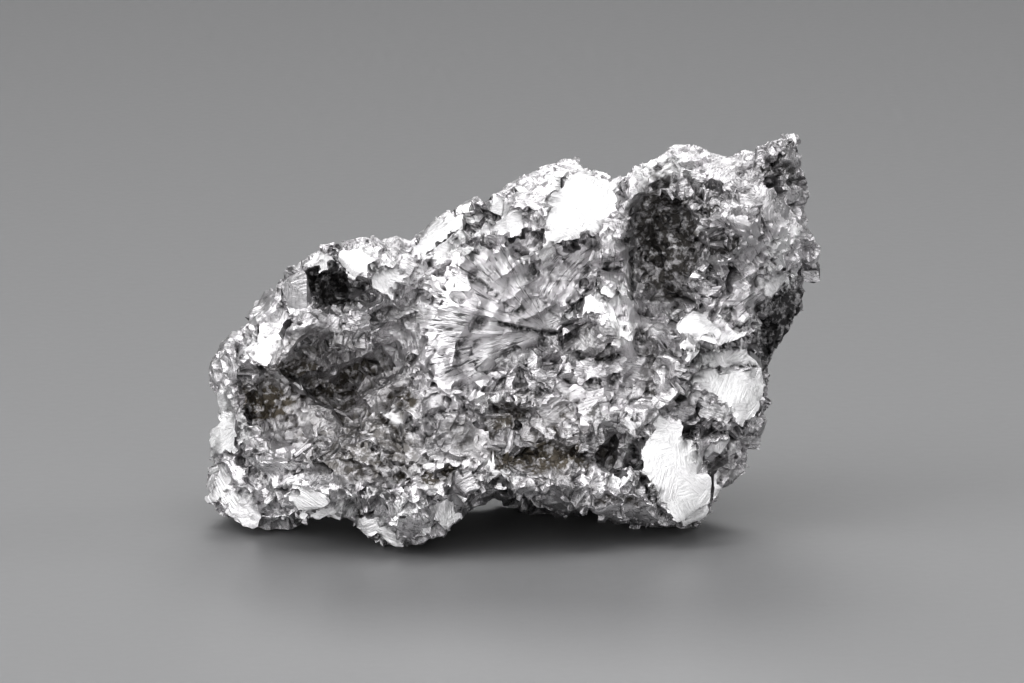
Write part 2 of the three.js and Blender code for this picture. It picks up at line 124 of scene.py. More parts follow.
# Cleavage facets: flat, bright and smooth. Each has how far it faces up and to the right as slopes, how
# bright it is polished, and its outline in the face plane.
FACETS = {
    "crest": (0.6, 0.12, 1.0, [(2.7, 27.7), (4.4, 29.5), (5.7, 30.9), (6.4, 29.9), (8.6, 29.9), (8.7, 27.7),
        (7.6, 26.5), (7.2, 25.5), (5.2, 24.8), (3.7, 24.3), (2.5, 24.8)]),
    "slope_left": (1.5, -0.4, 0.9, [(-8.1, 23.5), (-7.6, 25.2), (-6.4, 26.7), (-4.9, 27.0), (-3.9, 26.8),
        (-3.6, 25.2), (-4.7, 24.3), (-5.4, 23.3)]),
    "slope_right": (1.45, -0.5, 0.9, [(-3.4, 26.6), (-1.7, 27.9), (-0.2, 27.6), (1.8, 26.6), (0.7, 25.0),
        (-2.9, 24.8)]),
    "ledge_left": (0.3, -0.3, 0.9, [(-17.5, 22.6), (-15.8, 23.6), (-14.4, 24.0), (-14.1, 22.5),
        (-16.3, 22.2)]),
    "ledge_right": (0.3, -0.4, 0.9, [(-14.2, 24.0), (-12.6, 24.3), (-10.7, 23.2), (-11.2, 21.4),
        (-13.3, 21.8), (-14.0, 22.4)]),
    "ledge_tip": (0.25, -0.1, 0.9, [(-11.2, 22.5), (-9.4, 22.7), (-8.4, 21.3), (-9.6, 20.3), (-10.7, 20.3),
        (-11.6, 21.1)]),
    "shoulder": (1.05, -0.4, 0.8, [(-18.0, 19.5), (-16.6, 20.1), (-15.8, 19.0), (-17.5, 18.3)]),
    "rim_patch": (0.65, -0.5, 0.7, [(-21.8, 16.4), (-20.3, 17.3), (-18.1, 17.3), (-18.5, 15.9),
        (-19.6, 14.8), (-21.6, 14.8)]),
    "left_brow": (0.4, -0.9, 0.8, [(-24.6, 12.4), (-23.0, 12.8), (-22.7, 11.1), (-24.6, 11.1)]),
    "left_cheek": (0.45, -0.9, 0.9, [(-25.4, 9.7), (-23.0, 10.3), (-22.0, 11.1), (-20.9, 10.1),
        (-21.0, 7.9), (-23.0, 7.5), (-25.4, 8.4)]),
    "left_chin": (0.4, -0.85, 0.8, [(-23.8, 7.2), (-22.5, 5.5), (-23.9, 3.3), (-25.6, 3.4), (-25.3, 5.4)]),
    "left_toe": (0.35, -0.6, 0.7, [(-23.4, 4.2), (-21.3, 4.9), (-20.1, 3.5), (-20.4, 1.2), (-22.7, 1.2)]),
    "middle_toe": (0.2, -0.1, 0.9, [(-17.6, 4.4), (-15.6, 4.7), (-13.8, 3.2), (-12.9, 1.7), (-15.2, 1.9),
        (-17.0, 2.8)]),
    "front_toe": (0.2, -0.35, 0.8, [(-12.6, 2.6), (-11.1, 2.8), (-9.2, 1.3), (-8.4, -0.2), (-10.6, 0.0),
        (-12.2, 0.8)]),
    "toe_side": (0.2, 0.2, 0.8, [(-6.9, 3.4), (-5.2, 4.2), (-3.9, 4.0), (-3.8, 2.6), (-5.4, 1.8)]),
    "lip_patch": (0.25, -0.3, 0.7, [(-1.9, 7.1), (-0.2, 6.7), (0.5, 5.0), (-0.8, 4.4), (-2.2, 5.6)]),
    "flake": (0.55, -0.4, 0.9, [(-10.6, 11.1), (-9.2, 11.4), (-7.9, 10.1), (-8.9, 9.6), (-10.1, 10.1)]),
    "neck": (0.85, 0.15, 0.9, [(12.1, 19.0), (14.1, 19.3), (15.8, 19.0), (16.4, 17.8), (19.1, 17.6),
        (19.1, 16.6), (15.8, 16.1), (13.8, 16.4), (12.9, 17.8)]),
    "cheek_top": (0.5, 0.2, 0.8, [(12.9, 17.3), (14.6, 16.3), (16.3, 16.0), (19.8, 16.2), (20.3, 14.4),
        (16.3, 14.3), (13.8, 14.8)]),
    "cheek": (0.5, 0.18, 1.0, [(14.1, 14.1), (16.3, 14.3), (20.3, 14.3), (20.6, 12.2), (19.6, 10.6),
        (18.5, 9.6), (17.5, 11.1), (15.6, 12.4), (14.4, 13.1)]),
    "dark_cheek": (0.05, -0.1, 0.5, [(13.8, 13.1), (15.6, 12.2), (17.3, 11.1), (17.5, 9.7), (15.3, 10.4),
        (14.1, 11.7)]),
    "foot": (0.42, 0.15, 1.0, [(11.9, 10.6), (13.4, 10.2), (13.8, 8.9), (14.8, 8.1), (15.3, 6.2),
        (16.8, 5.7), (16.6, 4.4), (15.8, 2.9), (15.3, 1.8), (13.9, 1.8), (12.2, 2.9), (11.1, 4.7),
        (10.1, 6.2), (9.9, 7.9), (10.9, 9.2)]),
    "foot_strip": (0.22, -0.1, 0.8, [(8.4, 10.9), (9.7, 10.6), (10.2, 9.6), (9.2, 9.2)]),
    "heel": (0.22, 0.25, 0.8, [(15.1, 8.4), (18.0, 8.7), (17.6, 7.7), (15.6, 7.4)]),
    "diagonal": (0.22, 0.25, 0.9, [(19.0, 21.5), (21.0, 22.0), (23.3, 22.1), (21.6, 20.0), (19.6, 20.6)]),
    "leaf_blade": (0.4, 0.0, 0.9, [(6.9, 21.4), (8.2, 21.2), (7.9, 19.9), (6.6, 19.0), (4.4, 18.2),
        (3.8, 18.2), (4.9, 19.5)]),
    "pebble_face": (0.5, 0.0, 0.7, [(7.5, 5.9), (8.3, 6.7), (9.4, 6.3), (9.6, 5.2), (8.7, 4.5),
        (7.6, 5.0)]),
    "pit_fleck": (0.22, -0.3, 0.9, [(14.6, 25.8), (15.6, 25.3), (15.3, 24.5), (14.4, 25.0)]),
}
FACET_POINTS = 10  # a facet is cut where at least this many points lie on it
FACET_LEAN = 0.8  # how much of its slope each facet takes
FACET_FLATNESS = 0.97  # the rest is left of the ground's own shape
FACET_EDGE = (-0.12, 0.2)  # from outside to inside the outline, where the flattening rises
POLISH_EDGE = (-0.1, 0.12)  # and the polish
TERRACE = 3.2  # facets are cut in parallel terraces this far apart
TERRACE_ROUNDS = 12  # how often the ground is averaged to choose its terrace

# Borders of zones and outlines are uneven. The waves have a height, half waves in each millimetre to the
# right and up, and a start.
WOBBLE = 0.17
WOBBLE_WAVES = ((1.0, 0.92, 0.54, 0.0), (1.0, -0.60, 1.18, 0.64), (0.7, 1.94, -1.37, 0.2),
                (0.7, 1.69, 2.26, 0.32), (0.5, 3.60, -3.09, 0.1))
ZONE_EDGE = (0.65, 1.12)  # in shares of its half sizes, where an oval zone begins to fade and where it ends

# Hollows, and ground that is only painted darker: middle and half sizes in the face plane, turn in degrees,
# depth, how much shade is painted there (with brown dust where it is brown), and how brown.
HOLLOWS = {
    "ledge_pocket": ((-14.6, 20.9), (3.7, 1.5), -6, 0.5, 1.0, 0.1),
    "upper_hollow": ((-15.6, 16.4), (3.2, 1.4), 0, 0.3, 0.42, 0.2),
    "crevice_left": ((-17.1, 14.4), (1.8, 0.8), 0, 0.5, 0.9, 0.2),
    "crevice_middle": ((-12.8, 14.1), (2.0, 0.8), 30, 0.6, 1.0, 0.2),
    "crevice_low": ((-14.6, 12.6), (1.7, 0.6), 10, 0.5, 1.0, 0.2),
    "olive_bay": ((-19.8, 11.6), (2.7, 1.6), 0, 0.3, 1.0, 1.0),
    "nook": ((-8.7, 11.9), (1.2, 0.8), 0, 0.4, 0.8, 0.6),
    "brown_hole": ((-0.3, 10.2), (1.1, 1.6), 0, 0.5, 0.7, 1.0),
    "brown_band": ((2.2, 7.3), (4.4, 1.3), 0, 0.6, 1.0, 0.8),
    "pebble_hollow": ((7.7, 7.3), (1.5, 0.8), 0, 0.4, 0.5, 0.4),
    "eyelid": ((-5.9, 5.9), (3.0, 0.6), 8, 0.5, 0.9, 0.5),
    "dark_scoop": ((12.4, 24.6), (3.1, 6.0), 4, 0.5, 0.85, 0.2),
    "pit_left": ((16.9, 24.3), (1.7, 1.0), 0, 0.6, 1.0, 0.1),
    "pit_high": ((15.8, 27.5), (1.2, 0.8), 0, 0.4, 0.9, 0.1),
    "pit_top": ((21.0, 30.4), (2.0, 0.8), 0, 0.3, 0.7, 0.1),
    "right_side": ((22.3, 17.6), (2.4, 4.3), -28, 0.0, 0.9, 0.0),
    "bead_hole": ((14.4, 8.9), (0.7, 0.7), 0, 0.5, 0.9, 0.0),
    "striped_hollow": ((16.9, 6.7), (2.0, 1.0), 0, 0.3, 0.4, 0.1),
    "under_pebble": ((8.6, 3.9), (1.2, 0.4), 0, 0.4, 0.7, 0.5),
    "beside_foot": ((11.1, 4.4), (0.5, 1.0), 20, 0.4, 0.9, 0.2),
    "knee": ((-12.2, 3.2), (0.5, 0.8), 0, 0.3, 0.8, 0.2),
    "below_ledge": ((-8.7, 18.6), (2.3, 1.3), 0, 0.1, 0.4, 0.1),
    "leaf_shade": ((4.0, 22.9), (2.2, 1.8), 30, 0.1, 0.2, 0.1),
    "left_hollow": ((-14.6, 12.6), (7.6, 5.2), 0, 0.0, 0.22, 0.5),
    "knob_shade": ((18.0, 26.0), (4.5, 4.0), 0, 0.0, 0.12, 0.0),
    "middle_foot": ((1.5, 9.0), (7.0, 4.0), 0, 0.0, 0.15, 0.4),
    "dark_cheek": ((15.6, 11.4), (1.7, 1.1), -35, 0.0, 0.4, 0.0),
    "edge_strip": ((23.7, 29.3), (0.5, 3.4), 0, 0.0, 0.55, 0.0),
    "upper_right": ((6.8, 16.6), (2.5, 1.6), -20, 0.0, 0.3, 0.2),
    "under_scoop": ((11.0, 15.2), (0.7, 2.8), 0, 0.1, 0.5, 0.2),
    "lower_left": ((-11.6, 7.8), (5.0, 2.8), 0, 0.0, 0.6, 0.5),
    "oval_shade": ((-5.0, 9.0), (2.6, 1.8), 8, 0.0, 0.5, 0.0),
    "spike_shade": ((22.4, 32.6), (1.3, 1.8), 0, 0.0, 0.4, 0.1),
}

# Rounded grains that stand proud: middle in the face plane, radius and height.
PEBBLES = {
    "foot_pebble": ((8.6, 5.4), 1.25, 0.8),
    "lip_bead": ((5.9, 5.2), 0.55, 0.35),
    "cheek_bead": ((21.2, 16.1), 0.5, 0.4),
}

# Strokes: ground cut by parallel ridges: middle and half sizes in the face plane, turn of the zone, the
# direction that its ridges run in, and how strong they are.
STROKES = {
    "leaf": ((4.4, 21.8), (3.0, 2.5), 30, 52, 1.0),
    "under_diagonal": ((18.3, 19.3), (2.3, 1.7), 30, 42, 1.0),
    "right_heel": ((17.0, 6.7), (2.2, 1.1), 0, 32, 0.8),
    "grey_oval": ((-5.0, 9.2), (2.6, 1.9), 8, 60, 0.35),
    "below_crest": ((0.6, 24.0), (3.2, 1.4), 20, 65, 0.7),
    "left_swirl": ((-18.6, 9.6), (2.4, 2.6), 0, 75, 0.7),
    "left_bank": ((-20.6, 19.2), (2.6, 1.8), 40, 40, 0.7),
    "lower_middle": ((5.6, 11.6), (3.6, 2.2), 0, 25, 0.6),
    "middle_left": ((-7.6, 15.2), (3.0, 2.6), 0, 110, 0.6),
    "knob_side": ((20.4, 24.6), (2.8, 2.6), 0, 120, 0.7),
}
STROKE_SPACING = 0.75
STROKE_HEIGHT = 0.32
STROKE_BEND = 0.05  # strokes bow aside by this much, times the square of the distance from the middle
STROKE_CALM = 0.8  # how far stroked ground counts as ribbed

# Cracks: the points of each line in the face plane, with its half width and depth.
CRACKS = {
    "fan_left": (0.22, 0.5, [(-1.0, 18.0), (0.8, 17.6), (2.6, 17.2), (3.9, 17.3)]),
    "fan_right": (0.28, 0.5, [(3.9, 16.3), (5.4, 15.4), (7.0, 15.0), (8.5, 15.5)]),
    "leaf_edge": (0.16, 0.4, [(7.0, 21.8), (5.7, 20.2), (4.0, 18.3)]),
    "scoop_edge": (0.2, 0.4, [(9.6, 20.0), (9.7, 22.8), (9.3, 25.5), (9.6, 27.4)]),
    "foot_edge": (0.2, 0.5, [(10.2, 9.4), (9.6, 7.9), (10.0, 6.0), (11.0, 4.4), (12.1, 2.7)]),
    "cheek_seam": (0.14, 0.3, [(13.9, 15.9), (16.0, 15.8), (19.2, 16.2)]),
    "cheek_step": (0.16, 0.35, [(13.9, 14.6), (16.3, 14.5), (20.0, 14.7)]),
    "heel_edge": (0.22, 0.5, [(15.2, 9.4), (17.2, 9.2), (19.4, 9.0)]),
    "slope_slit": (0.12, 0.25, [(-3.1, 26.9), (-4.0, 25.4)]),
    "diagonal_edge": (0.18, 0.4, [(18.6, 17.9), (20.4, 19.2), (22.3, 21.2)]),
    "flake_edge": (0.2, 0.5, [(-10.8, 10.6), (-9.0, 9.3), (-7.4, 9.6)]),
    "oval_top": (0.2, 0.4, [(-7.3, 10.4), (-5.4, 11.0), (-2.8, 11.0)]),
}

CRACK_SHADE = 0.8  # how much shade is painted in cracks
CRACK_SHADE_WIDTH = 1.5  # how far their painted shade reaches, in half widths of the crack

# Ground that is crumbly rather than cleaved: middle and half sizes in the face plane, turn, and how much.
CRUMBLE = {
    "left_hollow": ((-14.0, 13.0), (9.0, 7.0), 0, 1.0),
    "left_toes": ((-14.0, 4.5), (10.0, 4.0), 0, 0.6),
    "middle_foot": ((1.0, 9.0), (9.0, 6.0), 0, 0.8),
    "right_knob": ((18.5, 26.5), (6.0, 7.0), 0, 0.9),
    "dark_scoop": ((11.9, 24.8), (3.2, 6.0), 4, 0.8),
    "right_base": ((17.0, 7.0), (3.0, 3.0), 0, 0.6),
}
CRUMBLE_ELSEWHERE = 0.12
FEATHER_FIRM = 0.8  # how far feathered ground is spared

# Zones whose grains lean together: middle and half sizes in the face plane, turn, and how much they lean
# towards the light (above 0) or away from it (below 0). Their colour is painted paler for light or darker
# for shade by as much.
LEANS = {
    "top_left_slope": ((-3.5, 25.6), (6.0, 2.6), 18, 0.8),
    "crest": ((5.4, 28.0), (3.6, 3.4), 0, 0.9),
    "top_ridge": ((12.0, 30.8), (4.5, 1.5), 8, 0.9),
    "ledge": ((-13.0, 22.8), (5.0, 1.6), 5, 0.8),
    "fan_left": ((-4.8, 19.0), (4.5, 4.2), -20, 0.5),
    "fan_middle": ((-1.0, 21.0), (3.0, 4.0), 0, 0.6),
    "leaf_blade": ((6.3, 20.3), (1.4, 3.0), -25, 0.7),
    "column": ((8.5, 20.8), (1.5, 5.2), 5, 1.0),
    "left_shoulder": ((-20.0, 17.0), (3.4, 2.6), 40, 0.5),
    "left_rim": ((-23.2, 8.5), (1.8, 5.5), 0, 0.9),
    "left_toes": ((-18.5, 3.8), (6.5, 2.2), 0, 0.6),
    "front_toe": ((-7.6, 3.2), (4.6, 2.6), 10, 0.9),
    "lip_patch": ((-1.2, 6.2), (2.0, 1.6), 0, 0.9),
    "neck": ((15.8, 17.6), (4.0, 1.8), -10, 0.8),
    "cheek": ((17.6, 13.0), (3.6, 3.4), -30, 0.8),
    "foot": ((13.4, 6.0), (3.2, 5.0), 25, 0.8),
    "diagonal": ((21.2, 21.5), (2.6, 1.6), 20, 1.0),
    "knob_top": ((19.4, 28.6), (4.0, 3.0), 0, -0.35),
    "left_hollow": ((-14.5, 13.2), (7.5, 4.4), 0, -0.15),
    "ledge_pocket": ((-14.8, 21.0), (3.4, 1.2), -4, -0.8),
    "dark_scoop": ((12.2, 24.6), (3.0, 5.9), 4, -0.7),
    "leaf": ((4.2, 21.9), (3.0, 2.6), 30, 0.45),
    "right_side": ((22.3, 17.6), (2.4, 4.3), -28, -0.9),
    "middle": ((2.0, 13.0), (8.0, 4.0), 0, 0.05),
    "lower_left": ((-11.6, 7.6), (5.0, 2.8), 0, -0.55),
    "grey_oval": ((-5.0, 9.0), (2.8, 1.9), 8, -0.55),
    "under_scoop": ((11.0, 15.2), (0.8, 2.8), 0, -0.6),
    "foot_band": ((2.2, 7.2), (4.6, 1.3), 0, -0.6),
    "toe_band": ((-15.6, 4.0), (4.6, 1.6), -20, 0.8),
    "strip": ((8.6, 10.2), (1.9, 1.9), 0, 0.9),
    "pebble": ((8.5, 5.5), (1.7, 1.5), 0, 1.0),
    "spike": ((22.6, 32.8), (1.2, 1.8), 0, -0.7),
    "knob_waist": ((21.8, 24.0), (2.1, 2.4), 0, 0.8),
    "slope_gap": ((-2.8, 25.8), (1.8, 1.6), 0, 1.0),
    "ledge_start": ((-14.3, 23.4), (1.6, 1.6), 0, 1.0),
    "tongue": ((2.4, 23.9), (2.4, 1.2), 20, 1.0),
    "cheek_seam": ((15.2, 15.3), (1.6, 1.6), 0, 1.0),
    "under_diagonal": ((19.0, 17.6), (1.8, 1.4), 0, 0.9),
    "above_hole": ((-1.2, 11.6), (2.4, 1.2), 0, 0.8),
    "beside_foot": ((9.6, 8.0), (1.0, 1.6), 0, 0.9),
    "heel": ((16.8, 8.0), (2.0, 0.9), 0, 0.9),
    "middle_toe": ((-14.0, 3.4), (2.4, 1.3), 0, 1.0),
    "hollow_end": ((-9.8, 16.0), (1.6, 2.0), 0, 0.5),
    "behind_ledge": ((-9.6, 24.0), (1.6, 0.9), 0, -0.5),
}
TO_LIGHT = (-0.08, -0.80, 0.55)  # the way a grain faces to mirror the light
TO_DARK = (0.55, -0.80, 0.10)  # and to mirror the dark of the room
STEEPEST = 0.9  # the steepest lean, as a slope
LEAST_FACING = 0.35  # skin that faces further away than this leans no more

# Blades, which are raised strips: the points of each middle line, its half width, height and polish.
BLADES = {
    "pale_streak": ([(-0.4, 24.2), (-1.0, 21.2), (-1.8, 16.2), (-2.8, 12.0)], 0.65, 0.25, 0.5),
    "tongue": ([(2.9, 24.6), (1.2, 23.4), (0.6, 21.0)], 0.55, 0.25, 0.7),
    "column_left": ([(7.9, 25.2), (7.9, 22.0)], 0.4, 0.3, 0.6),
    "column_right": ([(9.2, 24.2), (9.5, 21.0), (9.5, 15.4)], 0.42, 0.3, 0.6),
    "scoop_rim": ([(9.4, 27.6), (10.6, 29.2), (12.6, 30.2)], 0.4, 0.3, 0.6),
    "pit_rim": ([(15.6, 23.2), (16.9, 22.9), (18.0, 23.6)], 0.35, 0.3, 0.8),
    "hollow_rim": ([(-18.9, 13.6), (-17.4, 13.3), (-16.2, 12.2)], 0.35, 0.3, 0.7),
    "left_arch": ([(-19.2, 17.2), (-16.0, 17.8), (-13.2, 17.4)], 0.4, 0.2, 0.3),
    "eyelid_rim": ([(-9.4, 5.2), (-6.4, 6.9), (-3.4, 6.6)], 0.35, 0.3, 0.5),
}
BLADE_WOBBLE = 0.5  # the share of the wobble that the edge of their polish takes
BLADE_EDGE = 0.7  # the polish begins to fade at this share of the half width

# The fan of feather crystals: its middle, its reach (its blank middle, to the left and up), and the rings
# of ribs that start one outside the other (ribs in a full turn, the distance from the middle where they
# start, and their height). It lies between two bearings, in radians.
FAN_AT = (3.0, 17.4)
FAN_REACH = (0.8, 11.0, 8.2)
FAN_RIBS = [(29, 0.8, 0.14), (53, 2.2, 0.13), (73, 5.2, 0.10)]
FAN_EDGE = 1.5  # how far in from its reach it begins to fade
FAN_FROM = (1.5, 2.1)
FAN_TO = (3.5, 3.9)

# The ribbed column beside the scoop: its middle line, and where its sides, foot and head fade.
COLUMN = [(8.2, 25.0), (8.3, 21.5), (9.2, 18.0), (10.0, 15.0)]
COLUMN_SIDE = (1.1, 1.6)
COLUMN_FOOT = (15.2, 16.8)
COLUMN_HEAD = (24.0, 25.2)
COLUMN_SPACING = 0.55
COLUMN_HEIGHT = 0.12

# The barbs' pattern is squeezed by these shares along the ribs, and spread this much over a bearing.
BARB_STRETCH = 0.12
COLUMN_STRETCH = 0.1
BARB_SPREAD = 6

# The metal's colours, from its grains to the painted shade and brown dust in its hollows, and how far its
# colour is painted darker for shade or paler for light.
GREY_GRAIN = (0.62, 0.605, 0.62, 1)
PALE_GRAIN = (0.86, 0.848, 0.858, 1)
CLOUDED = (0.70, 0.682, 0.70, 1)
WHITEST = (0.88, 0.875, 0.88)
POLISHED = (0.56, 0.557, 0.562, 1)
SHADE_BLACK = (0.045, 0.044, 0.045, 1)
BROWN_DUST = (0.105, 0.09, 0.07, 1)
MOST_SHADED = 0.45
MOST_LIT = 1.25
SATIN = (0.30, 0.54)  # roughness of the grains
SHADE_AND_DUST_ROUGHNESS = 0.55
POLISHED_ROUGHNESS = 0.45
BUMP = 0.00011  # height of the finest relief, in metres

# Streaks: the size of the grains that they run one way in, their width and their length.
STREAK_PARTS = ("Grain size", "Streak width", "Streak length")
COARSE_STREAKS = (2.2, 0.30, 2.6)
FINE_STREAKS = (1.1, 0.14, 1.2)

BOARD_DARK = (0.135, 0.135, 0.138, 1)
BOARD_PALE = (0.165, 0.165, 0.168, 1)
WALLS_SEEN = (0.20, 0.195, 0.20, 1)
WALLS_MIRRORED = (0.09, 0.09, 0.092, 1)

# From here on, lengths are in metres, but for the lens and sensor, which are in millimetres.
FLOOR = 3.0  # half the floor's width
LENS = 250
SENSOR = 36
CAMERA_AIM = (0, 0, 0.0152)
CAMERA_DISTANCE = 0.575

# Soft lamps: bearing (0 in front, 90 to the right) and height above the floor in degrees, distance, width,
# height and power.
LAMPS_AIM = (0, 0, 0.015)
LAMPS = {
    "key": (-8, 52, 0.8, 1.0, 0.6, 4.8),
    "top": (0, 86, 0.8, 0.9, 0.7, 4.4),
    "front_fill": (-8, 17, 1.2, 1.6, 0.62, 7.0),
    "back_top": (180, 40, 0.9, 0.6, 0.3, 3),
    "left_side": (-62, 28, 0.8, 0.6, 0.55, 3.6),
    "right_side": (95, 30, 0.8, 0.3, 0.35, 1.6),
}


def face_plane(points):
    """Where points of the finished frame, in millimetres, lie in the face plane."""
    x, y, z = points.T
    return np.column_stack((x, z * cos(SIGHT) + (y + FACE_SHIFT) * sin(SIGHT) + FACE_RISE))


def smooth(x, low, high):
    """A smooth rise from 0 at the low value to 1 at the high one."""
    t = np.clip((x - low) / (high - low), 0, 1)
    return t * t * (3 - 2 * t)


def ridged(x):
    """Straight-sided ridges, one for each whole number: 0 in a furrow and 1 on a crest."""
    return 1 - np.abs(x % 1 * 2 - 1)


def vectors(items, name):
    """A vector of each item, one in each row."""
    flat = np.empty(len(items) * 3)
    items.foreach_get(name, flat)
    return flat.reshape(-1, 3)


def coordinates(mesh):
    return vectors(mesh.vertices, "co")


def normals(mesh):
    return vectors(mesh.vertex_normals, "vector")


def move(mesh, points):
    mesh.vertices.foreach_set("co", points.ravel())
    mesh.update()


def keep_layer(mesh, name, values):
    """Keeps a number or a vector of each point in a layer of the mesh."""
    kind, item = ("FLOAT", "value") if values.ndim == 1 else ("FLOAT_VECTOR", "vector")
    layer = mesh.attributes.new(name, kind, "POINT")
    layer.data.foreach_set(item, np.ascontiguousarray(values, dtype=np.float32).ravel())


def new_object(name, data):
    piece = bpy.data.objects.new(name, data)
    bpy.context.scene.collection.objects.link(piece)
    return piece


def applied(piece):
    """Swaps the piece's mesh for what its modifiers make of it, and removes them."""
    graph = bpy.context.evaluated_depsgraph_get()
    mesh = bpy.data.meshes.new_from_object(piece.evaluated_get(graph))
    piece.modifiers.clear()
    piece.data = mesh
    return mesh


# ---------------------------------------------------------------- listed forms of the front

def averaged(mesh, values, rounds):
    """Values at a mesh's points, in rows, averaged with their neighbours' again and again."""
    ends = np.empty(len(mesh.edges) * 2, dtype=np.int32)
    mesh.edges.foreach_get("vertices", ends)
    a, b = ends.reshape(-1, 2).T
    size = len(values)
    near = np.bincount(np.concatenate((a, b)), minlength=size)[:, None] + 1
    for _ in range(rounds):
        total = [np.bincount(a, values[b, axis], size) + np.bincount(b, values[a, axis], size)
                 for axis in range(values.shape[1])]
        values = (np.column_stack(total) + values) / near
    return values


def leaning(mesh, at, front):
    """The lean of the grains at each point, as a slope vector, and how strongly they lean together."""
    light_and_shade = lit_and_shaded(at, front)
    together = np.abs(light_and_shade)
    out = averaged(mesh, normals(mesh), NORMAL_ROUNDS)
    out /= np.linalg.norm(out, axis=1)[:, None]
    aim = np.where((light_and_shade > 0)[:, None], TO_LIGHT, TO_DARK)
    aim = aim / np.linalg.norm(aim, axis=1)[:, None]
    facing = np.clip((aim * out).sum(axis=1), LEAST_FACING, 1)[:, None]
    slope = -(aim - facing * out) / facing
    steep = np.linalg.norm(slope, axis=1)[:, None]
    return slope * np.minimum(1, STEEPEST / np.maximum(steep, TINY)) * together[:, None], together


def wobble(at):
    """A small uneven shift, in millimetres, that keeps borders from running straight."""
    u, v = at.T
    return WOBBLE * sum(high * (np.abs((a * u + b * v + start) % 2 - 1) * 2 - 1)
                        for high, a, b, start in WOBBLE_WAVES)


def from_stretch(at, a, b):
    """How far each point lies from the straight stretch between two points."""
    along = b - a
    share = np.clip(((at - a) @ along) / (along @ along), 0, 1)
    return np.hypot(*(at - a - share[:, None] * along).T)


def from_outline(at, outline):
    """How far each point lies inside an outline (negative: outside)."""
    corners = np.array(outline)
    nearest = np.full(len(at), FAR)
    odd = np.zeros(len(at), bool)
    for a, b in zip(corners, np.roll(corners, -1, axis=0)):
        nearest = np.minimum(nearest, from_stretch(at, a, b))
        crosses = (a[1] > at[:, 1]) != (b[1] > at[:, 1])
        run, rise = b - a
        odd ^= crosses & (at[:, 0] < a[0] + (at[:, 1] - a[1]) / (rise or TINY) * run)
    return np.where(odd, nearest, -nearest) + wobble(at)


def from_line(at, line):
    """How far each point lies from a line of several points."""
    points = np.array(line)
    nearest = np.full(len(at), FAR)
    for a, b in zip(points[:-1], points[1:]):
        nearest = np.minimum(nearest, from_stretch(at, a, b))
    return nearest


def turned_axes(at, middle, turn):
    """Each point's distances along and across an axis through a middle, turned by some degrees."""
    c, s = cos(radians(turn)), sin(radians(turn))
    du, dv = (at - middle).T
    return du * c + dv * s, dv * c - du * s


def in_zone(at, middle, half, turn):
    """1 in the middle of an oval zone, 0 outside it."""
    along, across = turned_axes(at, middle, turn)
    away = np.hypot(along / half[0], across / half[1])
    return 1 - smooth(away + wobble(at) / min(half), *ZONE_EDGE)


def lit_and_shaded(at, front):
    """How far each point's colour is painted paler for light (above 0) or darker for shade (below 0), which
    its grains also lean with.
    """
    light_and_shade = np.zeros(len(at))
    for middle, half, turn, most in LEANS.values():
        zone = in_zone(at, middle, half, turn) * most * front
        light_and_shade = np.where(np.abs(zone) > np.abs(light_and_shade), zone, light_and_shade)
    return light_and_shade


def shaded_and_dusted(at, front):
    """How much painted shade and brown dust lies on each point, and how brown it is, in the hollows and
    cracks.
    """
    shade_and_dust = np.zeros(len(at))
    brown = np.zeros(len(at))
    for middle, half, turn, _, dark, warm in HOLLOWS.values():
        share = in_zone(at, middle, half, turn) * front
        # Painted shade: hollows and dark zones get their colour darkened where shade falls; brown is brown
        # dust.
        shade_and_dust = np.maximum(shade_and_dust, share * dark)
        brown = np.maximum(brown, share * warm)
    for half_width, _, line in CRACKS.values():
        # Painted shade along the cracks.
        share = smooth(CRACK_SHADE_WIDTH - from_line(at, line) / half_width, 0, 1)
        shade_and_dust = np.maximum(shade_and_dust, share * CRACK_SHADE * front)
    return shade_and_dust, brown


def polished(at, front):
    """How smooth each point is: up to 1 on cleavage facets and blades, 0 elsewhere."""
    shine = np.zeros(len(at))
    for _, _, bright, outline in FACETS.values():
        shine = np.maximum(shine, smooth(from_outline(at, outline), *POLISH_EDGE) * bright)
    for line, half_width, _, bright in BLADES.values():
        away = from_line(at, line) + wobble(at) * BLADE_WOBBLE
        shine = np.maximum(shine, (1 - smooth(away, half_width * BLADE_EDGE, half_width)) * bright)
    return shine * front


def beside_column(at):
    """How far each point lies to the right of the column's middle."""
    u, v = np.array(COLUMN[::-1]).T
    return at[:, 0] - np.interp(at[:, 1], v, u)


def feathered(at):
    """How far each point belongs to the fan and to the column, and its distance and bearing in the fan."""
    du, dv = (at - FAN_AT).T
    reach, bearing = np.hypot(du, dv), np.arctan2(dv, du)
    bearing = np.where(bearing < -pi / 2, bearing + 2 * pi, bearing)
    inner, left, up = FAN_REACH
    edge = np.where(bearing > pi / 2, up + (left - up) * smooth(bearing, pi / 2, pi), up)
    fan = smooth(reach, inner * 0.5, inner) * (1 - smooth(reach, edge - FAN_EDGE, edge))
    fan *= smooth(bearing, *FAN_FROM) * (1 - smooth(bearing, *FAN_TO))
    column = 1 - smooth(np.abs(beside_column(at)), *COLUMN_SIDE)
    column *= smooth(at[:, 1], *COLUMN_FOOT) * (1 - smooth(at[:, 1], *COLUMN_HEAD))
    return fan * (1 - column), column, reach, bearing


def stroked(at):
    """How far each point belongs to stroked ground, and its distances across and along the strokes."""
    share = np.zeros(len(at))
    across, along = np.zeros(len(at)), np.zeros(len(at))
    for middle, half, turn, direction, most in STROKES.values():
        zone = in_zone(at, middle, half, turn) * most
        du, dv = (at - middle).T
        ahead, aside = turned_axes(at, middle, direction)
        across = np.where(zone > share, aside + STROKE_BEND * (du**2 + dv**2), across)
        along = np.where(zone > share, ahead, along)
        share = np.maximum(share, zone)
    return share, across, along


